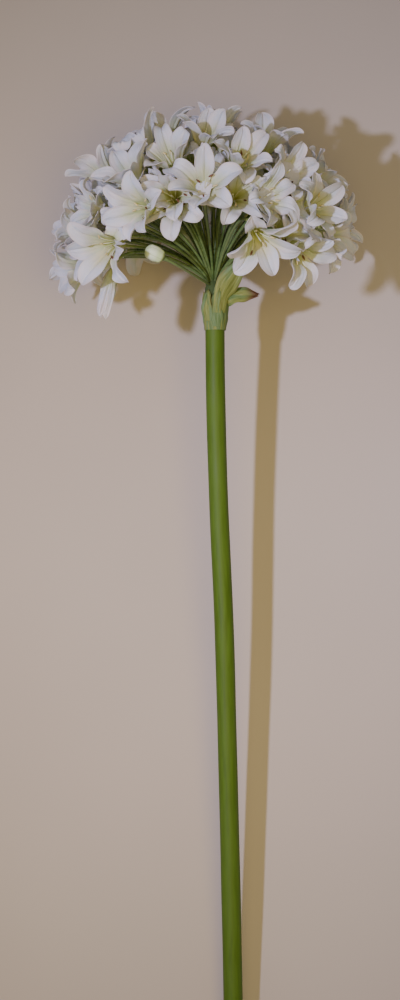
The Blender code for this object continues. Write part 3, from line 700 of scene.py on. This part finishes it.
class Nodes:
    """Short ways to add nodes to one material."""

    def __init__(self, name):
        self.material = bpy.data.materials.new(name)
        self.material.use_nodes = True
        self.tree = self.material.node_tree
        self.shader = self.tree.nodes["Principled BSDF"]

    def add(self, kind, **settings):
        node = self.tree.nodes.new(kind)
        for key, value in settings.items():
            setattr(node, key, value)
        return node

    def feed(self, socket, value):
        if isinstance(value, bpy.types.NodeSocket):
            self.tree.links.new(value, socket)
        else:
            socket.default_value = value

    def attributes(self, *names):
        return [self.add("ShaderNodeAttribute", attribute_name=name).outputs["Fac"]
                for name in names]

    def filled(self, kind, *values, **settings):
        """The first output of a new node whose inputs take the values in turn."""
        node = self.add(kind, **settings)
        for socket, value in zip(node.inputs, values):
            self.feed(socket, value)
        return node.outputs[0]

    def fill(self, node, **inputs):
        """Gives values to a node's inputs by name, with _ for a space."""
        for name, value in inputs.items():
            self.feed(node.inputs[name.replace("_", " ")], value)
        return node

    def maths(self, operation, *values):
        return self.filled("ShaderNodeMath", *values, operation=operation)

    def times(self, *values):
        return self.maths("MULTIPLY", *values)

    def total(self, first, *others):
        for value in others:
            first = self.maths("ADD", first, value)
        return first

    def ramp(self, value, *stops):
        node = self.add("ShaderNodeValToRGB")
        node.color_ramp.interpolation = "EASE"
        elements = node.color_ramp.elements
        while len(elements) < len(stops):
            elements.new(0.5)
        for element, (at, colour) in zip(elements, stops):
            element.position = at
            element.color = (*np.broadcast_to(colour, 3), 1.0)
        self.feed(node.inputs[0], value)
        return node.outputs[0]

    def mix(self, share, low, high, blend="MIX"):
        node = self.add("ShaderNodeMix", data_type="RGBA", blend_type=blend)
        for socket, value in zip((node.inputs[0], node.inputs[6], node.inputs[7]),
                                 (share, low, high)):
            self.feed(socket, (*value, 1.0) if isinstance(value, tuple) else value)
        return node.outputs[2]

    def noise(self, scale, detail, vector=None):
        """Noise over a vector, or over the piece's own coordinates."""
        if vector is None:
            vector = self.add("ShaderNodeTexCoord").outputs["Object"]
        node = self.add("ShaderNodeTexNoise")
        return self.fill(node, Vector=vector, Scale=scale, Detail=detail).outputs["Fac"]

    def stretched_noise(self, detail, *axes):
        """Noise over coordinates, each a value times a factor."""
        scaled = [self.times(value, factor) for value, factor in axes]
        return self.noise(1.0, detail, self.filled("ShaderNodeCombineXYZ", *scaled))

    def bump(self, height, strength, distance):
        node = self.add("ShaderNodeBump")
        self.fill(node, Height=height, Strength=strength, Distance=distance)
        self.fill(self.shader, Normal=node.outputs[0])
        return node.outputs[0]

    def surface(self, colour, roughness, specular=0.5):
        self.fill(self.shader, Base_Color=colour, Roughness=roughness,
                  Specular_IOR_Level=specular)

    def let_light_through(self, share, colour, normal):
        through = self.fill(self.add("ShaderNodeBsdfTranslucent"), Color=colour, Normal=normal)
        shaders = self.shader.outputs[0], through.outputs[0]
        both = self.filled("ShaderNodeMixShader", share, *shaders)
        self.fill(self.tree.nodes["Material Output"], Surface=both)


def petal_material():
    """White cloth, yellow-green in the throat and along the midrib, faintly pink and veined."""
    n = Nodes("petal_cloth")
    along, across, behind, seed = n.attributes("along", "across", "behind", "seed")
    side = n.maths("ABSOLUTE", across)
    veins = n.stretched_noise(3.0, (across, 9.0), (along, 1.6), (seed, 37.0))
    blotch = n.stretched_noise(2.0, (across, 1.5), (along, 2.2), (seed, 91.0))
    # How far from the throat, whose green reaches furthest along the midrib
    reach = n.total(along, n.times(side, 0.16), n.times(blotch, 0.16), n.times(behind, 0.06))
    white = n.ramp(veins, (0.3, (0.76, 0.81, 0.88)), (0.7, (0.86, 0.89, 0.95)))
    tinted = n.ramp(blotch, (0.30, (0.71, 0.80, 0.94)), (0.5, (0.83, 0.85, 0.93)),
                    (0.70, (0.91, 0.84, 0.87)))
    white = n.mix(0.6, white, tinted)
    tips = n.ramp(n.maths("MAXIMUM", along, side), (0.84, 0.0), (1.0, 0.5))
    white = n.mix(tips, white, (0.88, 0.81, 0.80))
    throat = n.ramp(reach, (0.0, (0.63, 0.70, 0.18)), (0.22, (0.80, 0.86, 0.35)),
                    (0.50, (0.91, 0.94, 0.64)), (0.86, (1.0, 1.0, 1.0)))
    colour = n.mix(1.0, white, throat, "MULTIPLY")
    rib = n.times(n.ramp(side, (0.0, 1.0), (0.16, 0.0)), n.ramp(along, (0.25, 0.30), (0.85, 0.05)))
    colour = n.mix(n.times(rib, n.total(0.35, behind)), colour, (0.55, 0.60, 0.36))
    n.surface(colour, 0.62, 0.3)
    n.fill(n.shader, Sheen_Weight=0.25, Sheen_Roughness=0.5)
    bumped = n.bump(n.total(veins, n.times(n.noise(2600.0, 2.0), 0.25)), 0.55, 0.0004)
    n.let_light_through(0.38, n.mix(1.0, colour, (0.95, 0.92, 0.86), "MULTIPLY"), bumped)
    return n.material


def stamen_material():
    """Pale green filaments and reddish-brown anthers."""
    n = Nodes("stamen")
    along, seed = n.attributes("along", "seed")
    thread = n.ramp(along, (0.0, (0.50, 0.56, 0.16)), (0.5, (0.74, 0.76, 0.52)),
                    (0.9, (0.80, 0.80, 0.70)))
    grain = n.noise(2400.0, 2.0)
    brown = n.ramp(grain, (0.35, (0.075, 0.026, 0.013)), (0.65, (0.21, 0.085, 0.035)))
    brown = n.mix(n.maths("GREATER_THAN", seed, 0.32), brown, (0.60, 0.52, 0.26))
    n.surface(n.mix(n.maths("GREATER_THAN", along, 1.5), thread, brown), 0.6)
    n.bump(grain, 0.3, 0.0002)
    return n.material


def pedicel_material():
    """Dark olive-green plastic, glossy, paler where it widens under a floret, with painted shade
    darkening the knob and the pedicels' roots inside the spathe.
    """
    n = Nodes("pedicel_plastic")
    along, seed = n.attributes("along", "seed")
    streak = n.stretched_noise(3.0, (along, 26.0), (0.0, 1.0), (seed, 51.0))
    green = n.ramp(streak, (0.3, (0.052, 0.105, 0.028)), (0.7, (0.125, 0.205, 0.056)))
    # Painted shade: the knob and the first stretch of each pedicel turn near-black green, as shade
    # in the recess inside the spathe
    green = n.mix(n.ramp(along, (0.0, 1.0), (0.12, 0.0)), green, (0.024, 0.055, 0.008))
    lighter = n.mix(n.times(seed, 0.5), green, (0.16, 0.22, 0.08))
    colour = n.mix(n.ramp(along, (0.82, 0.0), (1.0, 0.85)), lighter, (0.34, 0.40, 0.13))
    gloss = n.ramp(streak, (0.3, 0.26), (0.7, 0.42))
    matt_knob = n.mix(n.ramp(along, (0.0, 1.0), (0.06, 0.0)), gloss, (0.85, 0.85, 0.85))
    n.surface(colour, matt_knob)
    n.bump(n.noise(900.0, 2.0), 0.15, 0.0003)
    return n.material


def stem_material():
    """Smooth olive-green plastic with faint lengthwise streaks, and a paler cut end."""
    n = Nodes("stem_plastic")
    around, along, cut = n.attributes("across", "along", "behind")
    streak = n.stretched_noise(4.0, (n.maths("COSINE", around), 3.0),
                               (n.maths("SINE", around), 3.0), (along, 5.0))
    cloud = n.noise(22.0, 3.0)
    green = n.ramp(streak, (0.3, (0.055, 0.106, 0.0055)), (0.7, (0.072, 0.139, 0.009)))
    green = n.mix(n.ramp(cloud, (0.35, 0.0), (0.7, 0.45)), green, (0.082, 0.149, 0.016))
    colour = n.mix(cut, green, (0.42, 0.46, 0.20))
    n.surface(colour, n.ramp(streak, (0.3, 0.54), (0.7, 0.64)), 0.25)
    n.bump(n.total(streak, n.times(n.noise(700.0, 2.0), 0.2)), 0.25, 0.0004)
    return n.material


def bud_material():
    """Pale green at the foot, greenish white above, with darker seams."""
    n = Nodes("bud_plastic")
    along, across = n.attributes("along", "across")
    cloud = n.noise(500.0, 3.0)
    colour = n.ramp(along, (0.0, (0.26, 0.38, 0.10)), (0.22, (0.55, 0.70, 0.36)),
                    (0.7, (0.70, 0.82, 0.58)), (1.0, (0.52, 0.66, 0.36)))
    colour = n.mix(n.ramp(cloud, (0.4, 0.0), (0.7, 0.3)), colour, (0.82, 0.84, 0.74))
    colour = n.mix(n.ramp(across, (0.0, 0.55), (0.25, 0.0)), colour, (0.36, 0.46, 0.20))
    n.surface(colour, 0.55)
    n.bump(cloud, 0.2, 0.0003)
    return n.material


def spathe_material():
    """Dry papery sheath: straw yellow-green with lengthwise fibres, and browned edges and tips."""
    n = Nodes("spathe_paper")
    along, across, brown, seed = n.attributes("along", "across", "brown", "seed")
    fibres = n.stretched_noise(4.0, (across, 34.0), (along, 3.0), (seed, 1.0))
    bands = n.stretched_noise(2.0, (across, 3.2), (along, 1.1), (seed, 7.0))
    straw = n.ramp(fibres, (0.3, (0.18, 0.22, 0.040)), (0.52, (0.30, 0.36, 0.085)),
                   (0.72, (0.43, 0.47, 0.165)))
    green = n.ramp(fibres, (0.3, (0.12, 0.22, 0.065)), (0.7, (0.24, 0.38, 0.16)))
    colour = n.mix(n.ramp(bands, (0.42, 0.0), (0.58, 0.95)), straw, green)
    colour = n.mix(brown, colour, (0.16, 0.075, 0.028))
    n.surface(colour, 0.6)
    n.let_light_through(0.35, colour, n.bump(fibres, 0.6, 0.0005))
    return n.material


def floor_material():
    """Plain pale warm-grey paint."""
    n = Nodes("floor_paint")
    colour = n.ramp(n.noise(6.0, 2.0), (0.3, (0.500, 0.441, 0.380)), (0.7, (0.518, 0.456, 0.394)))
    n.surface(colour, 0.9, 0.1)
    return n.material


# ---- Stem, pedicels, bud and spathe ----

def stem_centre(depth):
    """x of the stem's centre line at a depth below the hub, on a smooth curve."""
    depths, offsets = zip(*STEM_BEND)
    slopes = np.gradient(offsets, depths)
    i = min(max(np.searchsorted(depths, depth) - 1, 0), len(depths) - 2)
    run = depths[i + 1] - depths[i]
    t = (depth - depths[i]) / run
    risen = t * t * (3 - 2 * t)
    return (offsets[i] * (1 - risen) + offsets[i + 1] * risen
            + run * t * (1 - t) * (slopes[i] * (1 - t) - slopes[i + 1] * t))


def build_stem():
    """The stem, slightly uneven, with the edge of its cut end eased and its core showing."""
    shell = Shell("along", "across", "behind")
    sides = 48
    heights = np.linspace(STEM_TOP, STEM_END + 0.0006, 90)
    path = [(stem_centre(-z), z) for z in heights]
    path += [(stem_centre(-STEM_END), STEM_END + rise) for _, rise in CUT_END]
    radii = [STEM_RADIUS * (1 - 0.012 * (1 + math.sin(z * 61) * math.sin(z * 23 + 1)))
             for z in heights] + [STEM_RADIUS * share for share, _ in CUT_END]
    turns = 2 * np.pi * np.arange(sides) / sides
    rings = [np.column_stack((x + np.cos(turns) * r, np.sin(turns) * r, np.full(sides, z)))
             for (x, z), r in zip(path, radii)]
    shell.add_rings(rings, flipped=True, along=[-z / 0.1 for _, z in path],
                    across=np.tile(turns, len(rings)), behind=[0.0] * (len(rings) - 3) + [1.0] * 3)
    shell.build("stem_tube", [stem_material()], ["stem"])


def pedicel_path(base, axis, lean):
    """From inside the receptacle, arching out to meet the foot of a floret or bud squarely."""
    leaving = direction(azimuth_of(base), polar_of(unit(base)) * lean)
    end = base - axis * SLOT
    span = np.linalg.norm(end)
    near, far = (span * share for share in PEDICEL_ARCH)
    share = np.arange(PEDICEL_SEGMENTS + 1)[:, None] / PEDICEL_SEGMENTS
    rest = 1 - share
    return (leaving * ROOT_DEPTH * rest ** 3 + 3 * (leaving * near) * rest ** 2 * share
            + 3 * (end - axis * far) * rest * share ** 2 + end * share ** 3)


def build_pedicels(florets, bud):
    """All pedicels as fine tubes, each widening under its floret, and the knob they grow from."""
    shell = Shell("along", "seed")
    look = random.Random(SEED * 77)
    stalks = [(f.base, f.axis, ROOT_LEAN, 1.0) for f in florets]
    for base, axis, lean, reach in stalks + [(*bud, BUD_LEAN, BUD_PEDICEL_REACH)]:
        path = pedicel_path(base, axis, lean)
        run = np.concatenate(([0], np.cumsum(np.linalg.norm(np.diff(path, axis=0), axis=1))))
        share = run / run[-1]
        neck = np.clip(1 - (run[-1] - run) / PEDICEL_NECK, 0, 1)
        radii = PEDICEL_RADIUS * (ROOT_TAPER + (1 - ROOT_TAPER) * smooth(0, 0.3, share)
                                  + (NECK_FLARE - 1) * neck ** 1.5)
        shell.add_rings(tube_rings(path, radii, 8), along=share * reach, seed=look.random())
    profile = ((0.0052, STEM_TOP + SLOT), *RECEPTACLE_PROFILE[:2], (0.0012, 0.0050))
    knob = tube_rings([(0, 0, z) for _, z in profile], [r for r, _ in profile], 20)
    # The knob has along 0, so it takes the pedicels' painted shade at the root
    shell.add_rings(knob, seed=0.3)
    shell.build("pedicel_tubes", [pedicel_material()], ["pedicels"])


def build_bud(bud):
    """A plump six-sided barrel that closes to a blunt, folded tip."""
    base, axis = bud
    side, up = square_to(axis)
    turns = 2 * np.pi * np.arange(36) / 36
    seam = np.abs(np.cos(turns * 3))  # 1 on the middle of a petal, 0 on a seam
    shares = 1 - (1 - np.linspace(0, 1, 18)) ** 1.3
    rings = []
    for share, out in zip(shares, np.interp(shares, *BUD_PROFILE)):
        radius = BUD_RADIUS * out * (0.93 + 0.07 * seam)
        rings.append(base + axis * BUD_LENGTH * share + np.outer(np.cos(turns) * radius, side)
                     + np.outer(np.sin(turns) * radius, up))
    shell = Shell("along", "across")
    shell.add_rings(rings, along=shares, across=np.tile(seam, len(rings)))
    shell.build("bud_barrel", [bud_material()], ["bud"])


def blade_grid(steps, fold, seed, look):
    """The middle surface of one blade, with its torn tip, and its coordinates."""
    shares = np.linspace(0, 1, 19)
    columns = np.linspace(-1, 1, 13)
    given = np.array(steps, float).T
    x, y, z, half, faced, lean = (np.interp(shares, given[0], row) for row in given[1:])
    middle = np.column_stack((x, y, z))
    for _ in range(2):
        middle[1:-1] = (middle[:-2] + 2 * middle[1:-1] + middle[2:]) / 4
    rows, ragged = [], [look.uniform(-1, 1) for _ in columns]
    for i, share in enumerate(shares):
        outward = direction(faced[i], 90)
        around = np.cross((0, 0, 1), outward)
        t = math.radians(-lean[i])
        across = around * math.cos(t) + np.array((0, 0, math.sin(t)))
        ahead = np.cross(outward, across)
        crease = (fold * (np.abs(columns) - 0.5)
                  + 0.0004 * np.cos(columns * 9 + seed) * share
                  + 0.0009 * np.sin(share * 6 + columns * 2.6 + seed) * share)
        torn = np.array(ragged) * 0.0011 * smooth(0.8, 1.0, share)
        ripple = 1 + 0.10 * math.sin(share * 11 + seed)
        rows.append(middle[i] + np.outer(columns * half[i] * ripple, across)
                    - np.outer(crease, outward) - np.outer(torn, ahead))
    return np.array(rows), *np.meshgrid(shares, columns, indexing="ij")


def sleeve_rim(azimuth):
    """Height of the sleeve's rim at an azimuth: higher over the front, and slit left of it."""
    raised = 0.0052 * smooth(-16, 4, azimuth) * (1 - smooth(50, 100, azimuth))
    slit = 0.0078 * (1 - smooth(-19, -8, azimuth)) + 0.0078 * smooth(328, 346, azimuth)
    torn = 0.0006 * np.sin(azimuth * 0.31) + 0.0004 * np.sin(azimuth * 0.83 + 1)
    return SPATHE_RIM + raised - slit + torn


def build_spathe():
    """The papery sheath round the stem's top, wrinkled, slit in front, with torn blades."""
    shell = Shell("along", "across", "brown", "seed")
    look = random.Random(SEED * 31)
    # The sleeve: a sheet round the stem, whose right edge lies over its left one
    turns = np.linspace(-SLEEVE_HALF_TURN, SLEEVE_HALF_TURN, 99)
    shares = np.linspace(0, 1, 24)
    azimuth, round_stem = turns + SPATHE_SEAM, np.radians(turns)
    rows = []
    for share in shares:
        height = SPATHE_BOTTOM + (sleeve_rim(azimuth) - SPATHE_BOTTOM) * share
        wrinkle = (0.00026 * np.sin(round_stem * 7 + 3 * share)
                   + 0.00020 * np.sin(round_stem * 13 + 1.7 + 5 * share)
                   + 0.00016 * np.sin(share * 21 + round_stem * 2))
        out = (np.interp(share, *SLEEVE_RADII) + wrinkle * smooth(0.02, 0.3, share)
               + SLEEVE_OVERLAP * (SLEEVE_HALF_TURN - turns) / (2 * SLEEVE_HALF_TURN))
        middle = np.array([stem_centre(-z) for z in height]) + 0.0006 * share
        rows.append(np.column_stack((middle + np.sin(np.radians(azimuth)) * out,
                                     -np.cos(np.radians(azimuth)) * out, height)))
    a, u = np.meshgrid(shares, turns / 60, indexing="ij")
    shell.add_sheet(np.array(rows), SPATHE_SHEET, along=a, across=u,
                    brown=0.35 * smooth(0.95, 1.0, a), seed=0.3)
    for steps, fold, browned, seed in SPATHE_BLADES:
        grid, a, u = blade_grid(steps, fold, seed, look)
        tip = browned * smooth(0.62, 0.95, a + 0.1 * np.abs(u)) + 0.4 * smooth(0.93, 1.0, a)
        edge = 0.5 * smooth(0.9, 1.0, np.abs(u)) * smooth(0.3, 0.6, a)
        shell.add_sheet(grid, SPATHE_SHEET, along=a, across=u * 0.25,
                        brown=np.minimum(np.maximum(tip, edge), 1.0), seed=seed)
    shell.build("spathe_paper", [spathe_material()], ["spathe"], sharp=70.0)


# ---- Floor, light and camera ----

def build_stage():
    mesh = bpy.data.meshes.new("floor")
    corners = np.array(((-1, -1, 0), (1, -1, 0), (1, 1, 0), (-1, 1, 0))) * FLOOR_REACH
    mesh.from_pydata(corners.tolist(), [], [(0, 1, 2, 3)])
    mesh.materials.append(floor_material())
    floor = placed("floor", mesh)


def build_camera():
    turned = laid_down(((1, 0, 0), (0, 0, 1), (0, -1, 0))) - HUB_AT
    right, up, back = (Vector(v) for v in turned)
    middle = Vector(HUB_AT) + right * VIEW_MIDDLE[0] + up * VIEW_MIDDLE[1]
    data = bpy.data.cameras.new("camera")
    data.sensor_fit = "HORIZONTAL"
    data.sensor_width = SENSOR
    data.lens = SENSOR * CAMERA_DISTANCE / VIEW_WIDTH
    camera = placed("camera", data)
    turn = Matrix((right, up, back)).transposed().to_4x4()
    camera.matrix_world = Matrix.Translation(middle + back * CAMERA_DISTANCE) @ turn
    bpy.context.scene.camera = camera


def build_lights():
    for name, at, towards, size, power, spread, colour in LIGHTS:
        data = bpy.data.lights.new(name, "AREA")
        data.shape = "DISK"
        data.size = size
        data.energy = power
        data.spread = math.radians(spread)
        data.color = colour
        light = placed(name, data)
        light.location = at
        light.rotation_euler = (Vector(towards) - Vector(at)).to_track_quat("-Z", "Y").to_euler()
    world = bpy.data.worlds.new("studio")
    bpy.context.scene.world = world
    world.use_nodes = True
    background = world.node_tree.nodes["Background"]
    background.inputs["Color"].default_value = WORLD_COLOUR
    background.inputs["Strength"].default_value = WORLD_STRENGTH


def main():
    places = list(floret_directions())
    florets = [Floret(i, d) for i, d in enumerate(places + filler_directions(places))]
    petal, stamen = petal_material(), stamen_material()
    for floret in put_in_order(florets):
        i = florets.index(floret) + 1
        look = random.Random(SEED * 5000 + i)
        shell = Shell("along", "across", "behind", "seed")
        add_petals(shell, floret, look)
        add_stamens(shell, floret, look)
        add_style(shell, floret, look)
        replaced = [f"floret_{i:02d}"] if i <= FLORETS else []
        shell.build(f"bloom_{i:02d}", [petal, stamen], replaced)
    bud = (BUD_BASE, unit(BUD_AXIS))
    build_pedicels(florets, bud)
    build_bud(bud)
    build_stem()
    build_spathe()
    build_stage()
    build_lights()
    build_camera()


main()
